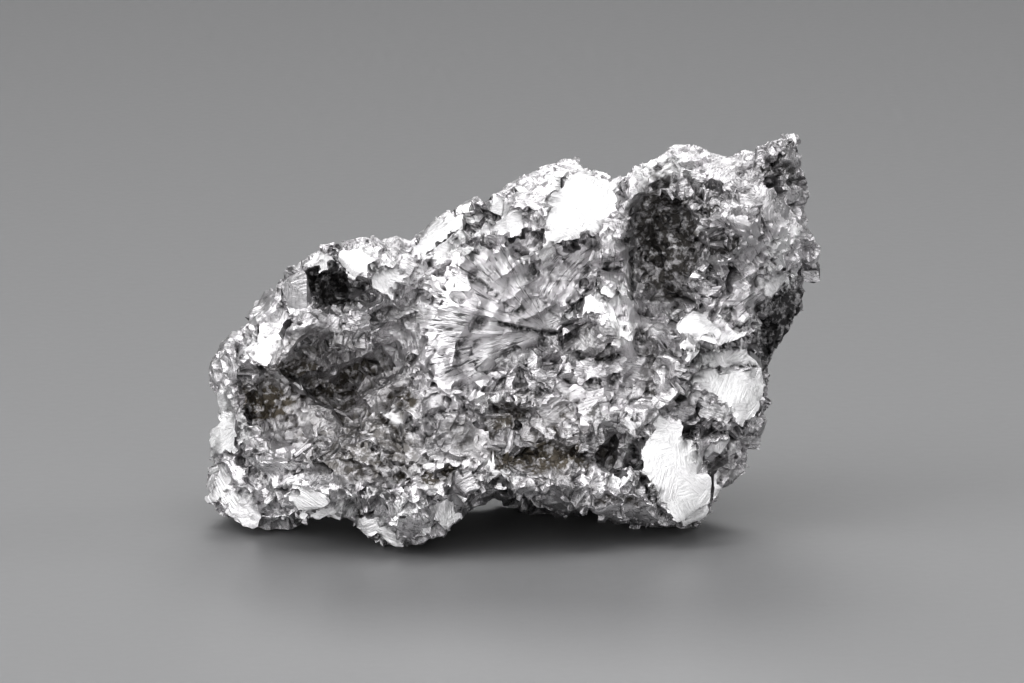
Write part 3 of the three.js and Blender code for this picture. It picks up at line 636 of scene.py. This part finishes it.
def crumbled(at, front):
    """How crumbly the skin is at each point."""
    share = np.full(len(at), CRUMBLE_ELSEWHERE)
    for middle, half, turn, most in CRUMBLE.values():
        share = np.maximum(share, in_zone(at, middle, half, turn) * most * front)
    fan, column, _, _ = feathered(at)
    return share * (1 - FEATHER_FIRM * np.maximum(fan, column) * front)


def pushed_back(at):
    """How far each point of the front is pushed back by hollows and cracks, less what stands proud of it."""
    back = np.zeros(len(at))
    for middle, half, turn, depth, _, _ in HOLLOWS.values():
        back += in_zone(at, middle, half, turn) * depth
    for half_width, depth, line in CRACKS.values():
        back += np.clip(1 - from_line(at, line) / half_width, 0, 1) * depth

    for middle, radius, height in PEBBLES.values():
        away = np.hypot(*(at - middle).T) / radius
        back -= np.sqrt(np.clip(1 - away**2, 0, 1)) * height

    # Ribs and strokes are ridges that waves shift to and fro. The fan's ribs also rise and sink.
    fan, column, reach, bearing = feathered(at)
    for ribs, start, height in FAN_RIBS:
        uneven = 0.35 * np.sin(bearing * 9 + start) + 0.2 * np.sin(bearing * 23 + reach * 0.5)
        uphill = 0.65 + 0.35 * np.sin(bearing * 13 + reach * 0.8)
        begun = smooth(reach, start, start * 1.6 + 0.5)
        back -= ridged(bearing * ribs / (2 * pi) + uneven) * begun * fan * height * uphill
    back -= ridged(beside_column(at) / COLUMN_SPACING) * column * COLUMN_HEIGHT
    share, across, along = stroked(at)
    uneven = 0.25 * np.sin(along * 1.9) + 0.2 * np.sin(along * 4.3 + across)
    back -= ridged((across + uneven) / STROKE_SPACING) * share * STROKE_HEIGHT
    for line, half_width, height, _ in BLADES.values():
        back -= np.clip(1.3 - from_line(at, line) / half_width, 0, 1) * height
    return back


def carved(mesh):
    """The mesh's points, with the front's hollows and ridges carved and its cleavage facets flattened."""
    points = coordinates(mesh)
    at = face_plane(points)
    front, sides = facing_front(mesh)
    points[:, 1] += pushed_back(at) * front
    for up, right, _, outline in FACETS.values():
        inside = from_outline(at, outline)
        seat = (inside > 0) & (front > 0.5)
        if seat.sum() < FACET_POINTS:
            continue
        middle = at[seat].mean(axis=0)
        plane = (at - middle) @ (right, up) * FACET_LEAN
        pull = plane + np.median((points[:, 1] - plane)[seat]) - points[:, 1]
        pull -= TERRACE * np.round(averaged(mesh, pull[:, None], TERRACE_ROUNDS)[:, 0] / TERRACE)
        points[:, 1] += pull * smooth(inside, *FACET_EDGE) * sides * FACET_FLATNESS
    return points


# ---------------------------------------------------------------- nodes

def node(tree, kind, **settings):
    made = tree.nodes.new(kind)
    for name, value in settings.items():
        setattr(made, name, value)
    return made


def feed(tree, value, socket):
    """Wires a value that is a socket into another socket, or sets any other value on it."""
    if isinstance(value, bpy.types.NodeSocket):
        tree.links.new(value, socket)
    else:
        socket.default_value = value


def maths(tree, operation, *values):
    """A Math node's result. The values are sockets or numbers."""
    made = node(tree, "ShaderNodeMath", operation=operation)
    for socket, value in zip(made.inputs, values):
        feed(tree, value, socket)
    return made.outputs[0]


def vector_maths(tree, operation, *values, scale=None):
    """A Vector Math node's result. A number stands for a vector with three equal parts."""
    made = node(tree, "ShaderNodeVectorMath", operation=operation)
    for socket, value in zip(made.inputs, values):
        feed(tree, (value,) * 3 if isinstance(value, (int, float)) else value, socket)
    if scale is not None:
        feed(tree, scale, made.inputs["Scale"])
    return made.outputs["Value" if operation == "DOT_PRODUCT" else "Vector"]


def turned(tree, vector, spin):
    made = node(tree, "ShaderNodeVectorRotate", rotation_type="EULER_XYZ")
    feed(tree, vector, made.inputs["Vector"])
    feed(tree, spin, made.inputs["Rotation"])
    return made.outputs[0]


def noise(tree, place, scale, detail, roughness=0.5):
    made = node(tree, "ShaderNodeTexNoise", noise_dimensions="3D")
    for name, value in (("Vector", place), ("Scale", scale), ("Detail", detail), ("Roughness", roughness)):
        feed(tree, value, made.inputs[name])
    return made


def ranged(tree, value, from_low, from_high, to_low, to_high):
    """The value carried from one range to another, and held inside it."""
    made = node(tree, "ShaderNodeMapRange")
    for name, given in (("Value", value), ("From Min", from_low), ("From Max", from_high),
                        ("To Min", to_low), ("To Max", to_high)):
        feed(tree, given, made.inputs[name])
    return made.outputs[0]


def mixed(tree, share, low, high):
    """A colour or number between low and high."""
    coloured = any(isinstance(value, tuple) or getattr(value, "type", "") in ("RGBA", "VECTOR")
                   for value in (low, high))
    made = node(tree, "ShaderNodeMix", data_type="RGBA" if coloured else "FLOAT")
    feed(tree, share, made.inputs[0])
    for number, value in zip((6, 7) if coloured else (2, 3), (low, high)):
        feed(tree, value, made.inputs[number])
    return made.outputs[2 if coloured else 0]


def new_input(tree, name, kind, value=None):
    socket = tree.interface.new_socket(name, in_out="INPUT", socket_type=f"NodeSocket{kind}")
    if value is not None:
        socket.default_value = value


def new_output(tree, name, kind):
    tree.interface.new_socket(name, in_out="OUTPUT", socket_type=f"NodeSocket{kind}")


# ---------------------------------------------------------------- the crystal skin, by Geometry Nodes

def stored(tree, name, kind="FLOAT"):
    made = node(tree, "GeometryNodeInputNamedAttribute", data_type=kind)
    made.inputs["Name"].default_value = name
    return made.outputs[0]


def crystal_skin_tree():
    """Moves each point of a skin to the tilted, stepped and stair-cut face of the grain that it lies in."""
    tree = bpy.data.node_groups.new("Crystal skin", "GeometryNodeTree")
    new_input(tree, "Skin", "Geometry")
    for level, sizes in GRAINS.items():
        for part, value in zip(GRAIN_PARTS, sizes):
            new_input(tree, f"{level} {part}", "Float", value)
    new_input(tree, "Lump size", "Float", LUMP_SIZE)
    new_input(tree, "Lump height", "Float", LUMP_HEIGHT)
    new_input(tree, "Seed", "Int", GRAIN_SEED)
    new_input(tree, "Finish", "Material")
    new_output(tree, "Skin", "Geometry")

    given = node(tree, "NodeGroupInput")
    position = node(tree, "GeometryNodeInputPosition").outputs[0]
    lean = stored(tree, "lean", "FLOAT_VECTOR")
    alone = maths(tree, "SUBTRACT", 1.0, maths(tree, "MULTIPLY", stored(tree, "together"), ALIGNED))
    wander = noise(tree, position, WANDER, 2.0)
    swing = vector_maths(tree, "SUBTRACT", wander.outputs["Color"], 0.5)

    heights = []
    spin = None
    for number, level in enumerate(GRAINS):
        size, tilt, step, width, stair = (given.outputs[f"{level} {part}"] for part in GRAIN_PARTS)
        shift = maths(tree, "MULTIPLY", given.outputs["Seed"], SEED_SHIFT + number)
        away = node(tree, "ShaderNodeCombineXYZ")
        for axis in away.inputs:
            feed(tree, shift, axis)
        bent = vector_maths(tree, "ADD", position, vector_maths(tree, "SCALE", swing, scale=size))
        moved = vector_maths(tree, "ADD", bent, away.outputs[0])
        leaned = lean
        stretch = (1, 1, 1)
        if spin:
            # The smaller grains lie the way that their plate is spun, and are stretched into blades.
            moved, leaned = (turned(tree, vector, spin) for vector in (moved, leaned))
            stretch = (BLADE_WIDTH, BLADE_LENGTH, BLADE_LENGTH)
        squeezed = vector_maths(tree, "DIVIDE", moved, stretch)
        squeezed = vector_maths(tree, "SCALE", squeezed, scale=maths(tree, "DIVIDE", 1.0, size))
        cells = node(tree, "ShaderNodeTexVoronoi", voronoi_dimensions="3D", feature="F1")
        for name, value in (("Vector", squeezed), ("Scale", 1.0), ("Randomness", 1.0)):
            feed(tree, value, cells.inputs[name])

        offset = vector_maths(tree, "SUBTRACT", squeezed, cells.outputs["Position"])
        offset = vector_maths(tree, "MULTIPLY", offset, stretch)
        offset = vector_maths(tree, "SCALE", offset, scale=size)
        chance = vector_maths(tree, "SUBTRACT", cells.outputs["Color"], 0.5)
        free = maths(tree, "MULTIPLY", alone, maths(tree, "MULTIPLY", tilt, TILT_SPREAD))
        slope = vector_maths(tree, "SCALE", chance, scale=free)
        slope = vector_maths(tree, "ADD", slope, vector_maths(tree, "SCALE", leaned, scale=LEAN_SHARE))
        tilted = vector_maths(tree, "DOT_PRODUCT", offset, slope)
        if not spin:
            spin = vector_maths(tree, "SCALE", cells.outputs["Color"], scale=2 * pi)
        parts = node(tree, "ShaderNodeSeparateXYZ")
        feed(tree, chance, parts.inputs[0])
        stepped = maths(tree, "MULTIPLY", parts.outputs[0], maths(tree, "MULTIPLY", step, 2.0))
        heights.append(maths(tree, "ADD", tilted, stepped))

        run = vector_maths(tree, "DOT_PRODUCT", offset, vector_maths(tree, "NORMALIZE", chance))
        tread = maths(tree, "DIVIDE", run, maths(tree, "MAXIMUM", width, LEAST_STAIR))
        heights.append(maths(tree, "MULTIPLY", maths(tree, "FRACT", tread), stair))

    lump_scale = maths(tree, "DIVIDE", 1.0, given.outputs["Lump size"])
    lumps = noise(tree, vector_maths(tree, "ADD", position, LUMP_SHIFT), lump_scale, 3.0, 0.62)
    raised = maths(tree, "SUBTRACT", lumps.outputs[0], 0.5)
    raised = maths(tree, "MULTIPLY", raised, given.outputs["Lump height"])
    heights.append(maths(tree, "MULTIPLY", raised, stored(tree, "crumble")))
    total = heights[0]
    for part in heights[1:]:
        total = maths(tree, "ADD", total, part)
    share = maths(tree, "MULTIPLY", maths(tree, "SUBTRACT", total, SINK), stored(tree, "relief"))
    pressed = maths(tree, "SUBTRACT", maths(tree, "MULTIPLY", share, PROUD_SHARE), PROUD_SINK)
    kept = maths(tree, "MAXIMUM", maths(tree, "MINIMUM", share, pressed), -DEEPEST)
    place = node(tree, "GeometryNodeSetPosition")
    feed(tree, given.outputs["Skin"], place.inputs["Geometry"])
    outward = stored(tree, "outward", "FLOAT_VECTOR")
    feed(tree, vector_maths(tree, "SCALE", outward, scale=kept), place.inputs["Offset"])
    real = node(tree, "GeometryNodeRealizeInstances")
    feed(tree, place.outputs[0], real.inputs[0])
    finish = node(tree, "GeometryNodeSetMaterial")
    feed(tree, real.outputs[0], finish.inputs["Geometry"])
    feed(tree, given.outputs["Finish"], finish.inputs["Material"])
    out = node(tree, "NodeGroupOutput")
    feed(tree, finish.outputs[0], out.inputs["Skin"])
    return tree


# ---------------------------------------------------------------- finishes

def grain_group():
    """Streaks that run one way in each crystal grain, and a tone for each grain."""
    tree = bpy.data.node_groups.new("Grain streaks", "ShaderNodeTree")
    new_input(tree, "Place", "Vector")
    for name, value in zip(STREAK_PARTS, COARSE_STREAKS):
        new_input(tree, name, "Float", value)
    new_output(tree, "Streaks", "Float")
    new_output(tree, "Tone", "Float")

    given = node(tree, "NodeGroupInput")
    out = node(tree, "NodeGroupOutput")
    wander = noise(tree, given.outputs["Place"], 0.8, 3.0)
    cells = node(tree, "ShaderNodeTexVoronoi", voronoi_dimensions="3D", feature="F1")
    bent = vector_maths(tree, "ADD", given.outputs["Place"], wander.outputs["Color"])
    feed(tree, bent, cells.inputs["Vector"])
    feed(tree, maths(tree, "DIVIDE", 1.0, given.outputs["Grain size"]), cells.inputs["Scale"])

    spin = vector_maths(tree, "SCALE", cells.outputs["Color"], scale=2 * pi)
    across = maths(tree, "DIVIDE", 1.0, given.outputs["Streak width"])
    lengthways = maths(tree, "DIVIDE", 1.0, given.outputs["Streak length"])
    squeeze = node(tree, "ShaderNodeCombineXYZ")
    for socket, value in zip(squeeze.inputs, (across, lengthways, lengthways)):
        feed(tree, value, socket)
    spun = turned(tree, given.outputs["Place"], spin)
    streaks = noise(tree, vector_maths(tree, "MULTIPLY", spun, squeeze.outputs[0]), 1.0, 3.0, 0.6)
    ridge = maths(tree, "ABSOLUTE", maths(tree, "SUBTRACT", streaks.outputs[0], 0.5))
    feed(tree, maths(tree, "MULTIPLY", ridge, 2.0), out.inputs["Streaks"])
    split = node(tree, "ShaderNodeSeparateColor")
    feed(tree, cells.outputs["Color"], split.inputs[0])
    feed(tree, split.outputs[1], out.inputs["Tone"])
    return tree


def attribute(tree, name, part="Fac"):
    return node(tree, "ShaderNodeAttribute", attribute_type="GEOMETRY", attribute_name=name).outputs[part]


def new_material(name):
    material = bpy.data.materials.new(name)
    material.use_nodes = True
    return material, material.node_tree, material.node_tree.nodes["Principled BSDF"]


def streak_node(tree, streaks, place, sizes):
    made = node(tree, "ShaderNodeGroup", node_tree=streaks)
    feed(tree, place, made.inputs["Place"])
    for name, value in zip(STREAK_PARTS, sizes):
        feed(tree, value, made.inputs[name])
    return made


def bright_chromium(streaks):
    """Cleaved chromium: mirror-bright facets, streaked grains, hollows painted dark as shade with brown
    dust, and zones painted paler or darker for light and shade.
    """
    material, tree, shader = new_material("Bright chromium")
    in_metres = node(tree, "ShaderNodeTexCoord").outputs["Object"]
    place = vector_maths(tree, "SCALE", in_metres, scale=1 / MM)
    shade_and_dust, brown, polish, light_and_shade, feather = (attribute(tree, name) for name in (
        "shade_and_dust", "brown", "polish", "light_and_shade", "feather"))
    coarse = streak_node(tree, streaks, place, COARSE_STREAKS)
    fine = streak_node(tree, streaks, place, FINE_STREAKS)
    clouds = noise(tree, place, 0.35, 5.0, 0.65).outputs[0]
    grit = noise(tree, place, 1.8, 5.0, 0.6).outputs[0]
    barbs = noise(tree, attribute(tree, "grown", "Vector"), 5.0, 4.0, 0.65).outputs[0]

    # The clean metal, toned from grain to grain, then painted paler where light falls and darker where shade
    # falls, zone by zone.
    metal = mixed(tree, coarse.outputs["Tone"], GREY_GRAIN, PALE_GRAIN)
    metal = mixed(tree, clouds, metal, CLOUDED)
    # Painted light and shade: the metal's colour is scaled paler or darker zone by zone.
    metal = vector_maths(tree, "SCALE", metal, scale=ranged(tree, light_and_shade, -1.0, 1.0, MOST_SHADED, MOST_LIT))
    metal = vector_maths(tree, "MINIMUM", metal, WHITEST)
    metal = mixed(tree, maths(tree, "MULTIPLY", polish, 0.8), metal, POLISHED)

    # Painted shade, with brown dust where it is brown, in hollows and crevices, broken up by grit, and
    # painted shade in the slits between streaks and barbs.
    speck = maths(tree, "MULTIPLY", fine.outputs["Streaks"], clouds)
    cover = maths(tree, "SUBTRACT", ranged(tree, grit, 0.46, 0.62, 1.4, 0.1), maths(
        tree, "MULTIPLY", speck, 0.5))
    laid = maths(tree, "MULTIPLY", shade_and_dust, cover)
    furrow = maths(tree, "SUBTRACT", barbs, 0.38)
    scratch = maths(tree, "MINIMUM", coarse.outputs["Streaks"], maths(
        tree, "MULTIPLY", fine.outputs["Streaks"], 1.4))
    slit = ranged(tree, mixed(tree, feather, scratch, furrow), 0.0, 0.05, 0.85, 0.0)
    unpolished = maths(tree, "SUBTRACT", 1.0, maths(tree, "MULTIPLY", polish, 0.6))
    held = node(tree, "ShaderNodeClamp")
    feed(tree, maths(tree, "MAXIMUM", laid, maths(tree, "MULTIPLY", slit, unpolished)), held.inputs[0])
    shade_and_dust_cover = held.outputs[0]
    # The colour of the painted shade, turning to brown dust where it is brown.
    shade_and_dust_colour = mixed(tree, brown, SHADE_BLACK, BROWN_DUST)
    feed(tree, mixed(tree, shade_and_dust_cover, metal, shade_and_dust_colour), shader.inputs["Base Color"])

    rough = mixed(tree, clouds, *SATIN)
    rough = mixed(tree, shade_and_dust_cover, rough, SHADE_AND_DUST_ROUGHNESS)
    feed(tree, mixed(tree, polish, rough, POLISHED_ROUGHNESS), shader.inputs["Roughness"])
    feed(tree, 1.0, shader.inputs["Metallic"])

    relief = maths(tree, "ADD", coarse.outputs["Streaks"], maths(
        tree, "MULTIPLY", fine.outputs["Streaks"], 0.35))
    grit_height = maths(tree, "ADD", 0.4, maths(tree, "MULTIPLY", shade_and_dust, 2.0))
    relief = maths(tree, "ADD", relief, maths(tree, "MULTIPLY", grit, grit_height))
    relief = mixed(tree, feather, relief, maths(tree, "MULTIPLY", barbs, 1.8))
    calm = maths(tree, "SUBTRACT", 1.0, maths(tree, "MULTIPLY", polish, 0.62))
    bump = node(tree, "ShaderNodeBump")
    for name, value in (("Strength", 1.0), ("Distance", BUMP), ("Height", maths(
            tree, "MULTIPLY", relief, calm))):
        feed(tree, value, bump.inputs[name])
    feed(tree, bump.outputs[0], shader.inputs["Normal"])
    return material


def pale_board():
    material, tree, shader = new_material("Pale board")
    grain = noise(tree, node(tree, "ShaderNodeTexCoord").outputs["Object"], 900.0, 3.0).outputs[0]
    feed(tree, mixed(tree, grain, BOARD_DARK, BOARD_PALE), shader.inputs["Base Color"])
    feed(tree, mixed(tree, grain, 0.42, 0.55), shader.inputs["Roughness"])
    return material


# ---------------------------------------------------------------- the lump

def even_skin(solid):
    """A copy of the CAD solid in millimetres, merged and meshed again with even faces."""
    work = bmesh.new()
    work.from_mesh(solid.data)
    bmesh.ops.remove_doubles(work, verts=work.verts, dist=SAME_POINT)
    bmesh.ops.scale(work, vec=(1 / MM,) * 3, verts=work.verts)
    mesh = bpy.data.meshes.new("lump")
    work.to_mesh(mesh)
    work.free()
    piece = new_object("lump", mesh)
    remesh = piece.modifiers.new("Even faces", "REMESH")
    remesh.mode = "VOXEL"
    remesh.voxel_size = VOXEL
    applied(piece)
    return piece


def facing_front(mesh):
    """1 where the viewer of the face plane sees the skin, 0 where it faces away or lies behind other skin. A
    second share also counts the overhangs and side walls of thick ground as seen."""
    sight = np.array(TO_VIEWER)
    points = coordinates(mesh)
    near = points @ sight
    column, row = ((face_plane(points) + CELLS_START) / SEEN_CELL).astype(int).T
    cell = column * CELL_ROWS + row
    nearest = np.full(cell.max() + 1, -FAR)
    np.maximum.at(nearest, cell, near)
    farthest = np.full(cell.max() + 1, FAR)
    np.minimum.at(farthest, cell, near)
    shown = 1 - smooth(nearest[cell] - near, *HIDDEN_BY)
    thick = smooth(nearest[cell] - farthest[cell], *THICK)
    out = averaged(mesh, normals(mesh), FRONT_ROUNDS)
    facing = out @ sight / np.maximum(np.linalg.norm(out, axis=1), TINY)
    return smooth(facing, *FACING) * shown, np.maximum(smooth(facing, *SIDE_FACING), thick) * shown


def inside_box(points):
    """The points, kept inside the CAD solid's box."""
    low, high = (np.array(corner) / MM for corner in CAD_BOX)
    return np.clip(points, low + (BOX_GAP, BOX_GAP, 0), high - BOX_GAP)


def remove_specks(mesh):
    """Deletes the specks of skin that lie apart from the lump."""
    work = bmesh.new()
    work.from_mesh(mesh)
    left = set(work.verts)
    islands = []
    while left:
        reached = [left.pop()]
        for corner in reached:
            for edge in corner.link_edges:
                other = edge.other_vert(corner)
                if other in left:
                    left.remove(other)
                    reached.append(other)
        islands.append(reached)
    islands.sort(key=len)
    bmesh.ops.delete(work, geom=[corner for island in islands[:-1] for corner in island], context="VERTS")
    work.to_mesh(mesh)
    work.free()


def in_crevices(mesh):
    """How deep each point lies below the skin around it, in the mesh's own unit (above 0: in a crevice)."""
    points = coordinates(mesh)
    return ((averaged(mesh, points, CREVICE_ROUNDS) - points) * normals(mesh)).sum(axis=1)


def mark_grains(mesh):
    """Keeps on the mesh what the crystal skin reads: how high, crumbly and aligned its grains are."""
    points = coordinates(mesh)
    at = face_plane(points)
    front, sides = facing_front(mesh)
    fan, column, _, _ = feathered(at)
    calm = np.maximum(polished(at, sides) * FACET_CALM, (points[:, 2] < ON_FLOOR) * 1.0)
    ribbed = np.maximum(np.maximum(fan, column), stroked(at)[0] * STROKE_CALM)
    slope, together = leaning(mesh, at, front)
    keep_layer(mesh, "relief", (1 - calm) * (1 - RIBBED_CALM * ribbed * front))
    keep_layer(mesh, "crumble", crumbled(at, front))
    keep_layer(mesh, "together", together)
    keep_layer(mesh, "lean", slope)
    keep_layer(mesh, "outward", normals(mesh))


def mark_finish(mesh):
    """Keeps on the mesh what the metal reads: painted shade with brown dust, how brown, polish, painted
    light and shade, and how its feathers grow.
    """
    at = face_plane(inside_box(coordinates(mesh)))
    front, sides = facing_front(mesh)
    shade_and_dust, brown = shaded_and_dusted(at, front)
    depth = in_crevices(mesh)
    # Painted shade in the crevices, darker the deeper they lie.
    shade_and_dust = np.maximum(shade_and_dust, smooth(depth, *CREVICE_DEPTH) * CREVICE_SHADE)
    edges = np.clip(-depth / EDGE_HEIGHT, 0, 1)
    fan, column, reach, bearing = feathered(at)
    share, across, lengthways = stroked(at)
    ribbed = np.maximum(fan, column)
    keep_layer(mesh, "shade_and_dust", shade_and_dust)
    keep_layer(mesh, "brown", brown)
    keep_layer(mesh, "polish", polished(at, sides))
    # Painted light and shade: zones painted paler where light falls and darker where shade falls; raised
    # edges are drawn paler.
    keep_layer(mesh, "light_and_shade", lit_and_shaded(at, front) + edges * EDGE_TONE)
    keep_layer(mesh, "feather", np.maximum(share, ribbed) * front)
    beside = beside_column(at)
    grown = np.where((column > fan)[:, None], np.column_stack((beside, at[:, 1] * COLUMN_STRETCH, beside)),
                     np.column_stack((bearing * BARB_SPREAD, reach * BARB_STRETCH, bearing)))
    grown = np.where((share > ribbed)[:, None],
                     np.column_stack((across, lengthways * BARB_STRETCH, across)), grown)
    keep_layer(mesh, "grown", grown)


def lump(finish):
    """The lump's whole skin, in metres."""
    piece = even_skin(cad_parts["chromium_lump"])
    mark_grains(piece.data)
    skin = piece.modifiers.new("Crystal skin", "NODES")
    skin.node_group = crystal_skin_tree()
    for item in skin.node_group.interface.items_tree:
        if item.in_out == "INPUT" and item.name == "Finish":
            skin[item.identifier] = finish
    mesh = applied(piece)
    move(mesh, inside_box(carved(mesh)))

    thin = piece.modifiers.new("Thinned", "DECIMATE")
    thin.ratio = min(1, TRIANGLES / sum(len(face.vertices) - 2 for face in mesh.polygons))
    thin.use_collapse_triangulate = True
    mesh = applied(piece)
    remove_specks(mesh)
    mark_finish(mesh)
    for name in ("relief", "crumble", "outward", "lean", "together"):
        mesh.attributes.remove(mesh.attributes[name])
    move(mesh, inside_box(coordinates(mesh)) * MM)
    mesh.shade_smooth()
    mesh.set_sharp_from_angle(angle=radians(SHARP))
    return piece


# ---------------------------------------------------------------- floor, light and camera

def floor():
    mesh = bpy.data.meshes.new("floor")
    mesh.from_pydata([(-FLOOR, -FLOOR, 0), (FLOOR, -FLOOR, 0), (FLOOR, FLOOR, 0), (-FLOOR, FLOOR, 0)], [],
                     [(0, 1, 2, 3)])
    piece = new_object("floor", mesh)
    mesh.materials.append(pale_board())


def lamp(name, place, turn, width, height, power):
    """A soft rectangular lamp, which the camera doesn't see."""
    light = bpy.data.lights.new(name, "AREA")
    light.shape = "RECTANGLE"
    light.size = width
    light.size_y = height
    light.energy = power
    piece = new_object(name, light)
    piece.location = place
    piece.rotation_euler = turn
    piece.visible_camera = False


def studio():
    for name, (azimuth, elevation, distance, width, height, power) in LAMPS.items():
        a, e = radians(azimuth), radians(elevation)
        back = Vector((sin(a) * cos(e), -cos(a) * cos(e), sin(e)))
        turn = back.to_track_quat("Z", "Y").to_euler()
        lamp(name, Vector(LAMPS_AIM) + back * distance, turn, width, height, power)
    # A faint lamp that lies on the floor before the lump, out of sight, and faces up like a white card.
    lamp("floor_glow", (0, -0.22, 0.001), (pi, 0, 0), 0.5, 0.3, 0.45)
    bpy.context.scene.view_settings.view_transform = "Standard"
    world = bpy.data.worlds.new("studio")
    world.use_nodes = True
    tree = world.node_tree
    seen = node(tree, "ShaderNodeLightPath").outputs["Is Camera Ray"]
    feed(tree, mixed(tree, seen, WALLS_MIRRORED, WALLS_SEEN), tree.nodes["Background"].inputs["Color"])
    bpy.context.scene.world = world


def camera():
    lens = bpy.data.cameras.new("camera")
    lens.lens = LENS
    lens.sensor_width = SENSOR
    piece = new_object("camera", lens)
    back = Vector(TO_VIEWER)
    piece.location = Vector(CAMERA_AIM) + back * CAMERA_DISTANCE
    piece.rotation_euler = back.to_track_quat("Z", "Y").to_euler()
    bpy.context.scene.camera = piece


camera()
piece = lump(bright_chromium(grain_group()))
piece.name = "chromium_skin"
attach(piece, "root")
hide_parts("chromium_lump")
floor()
studio()
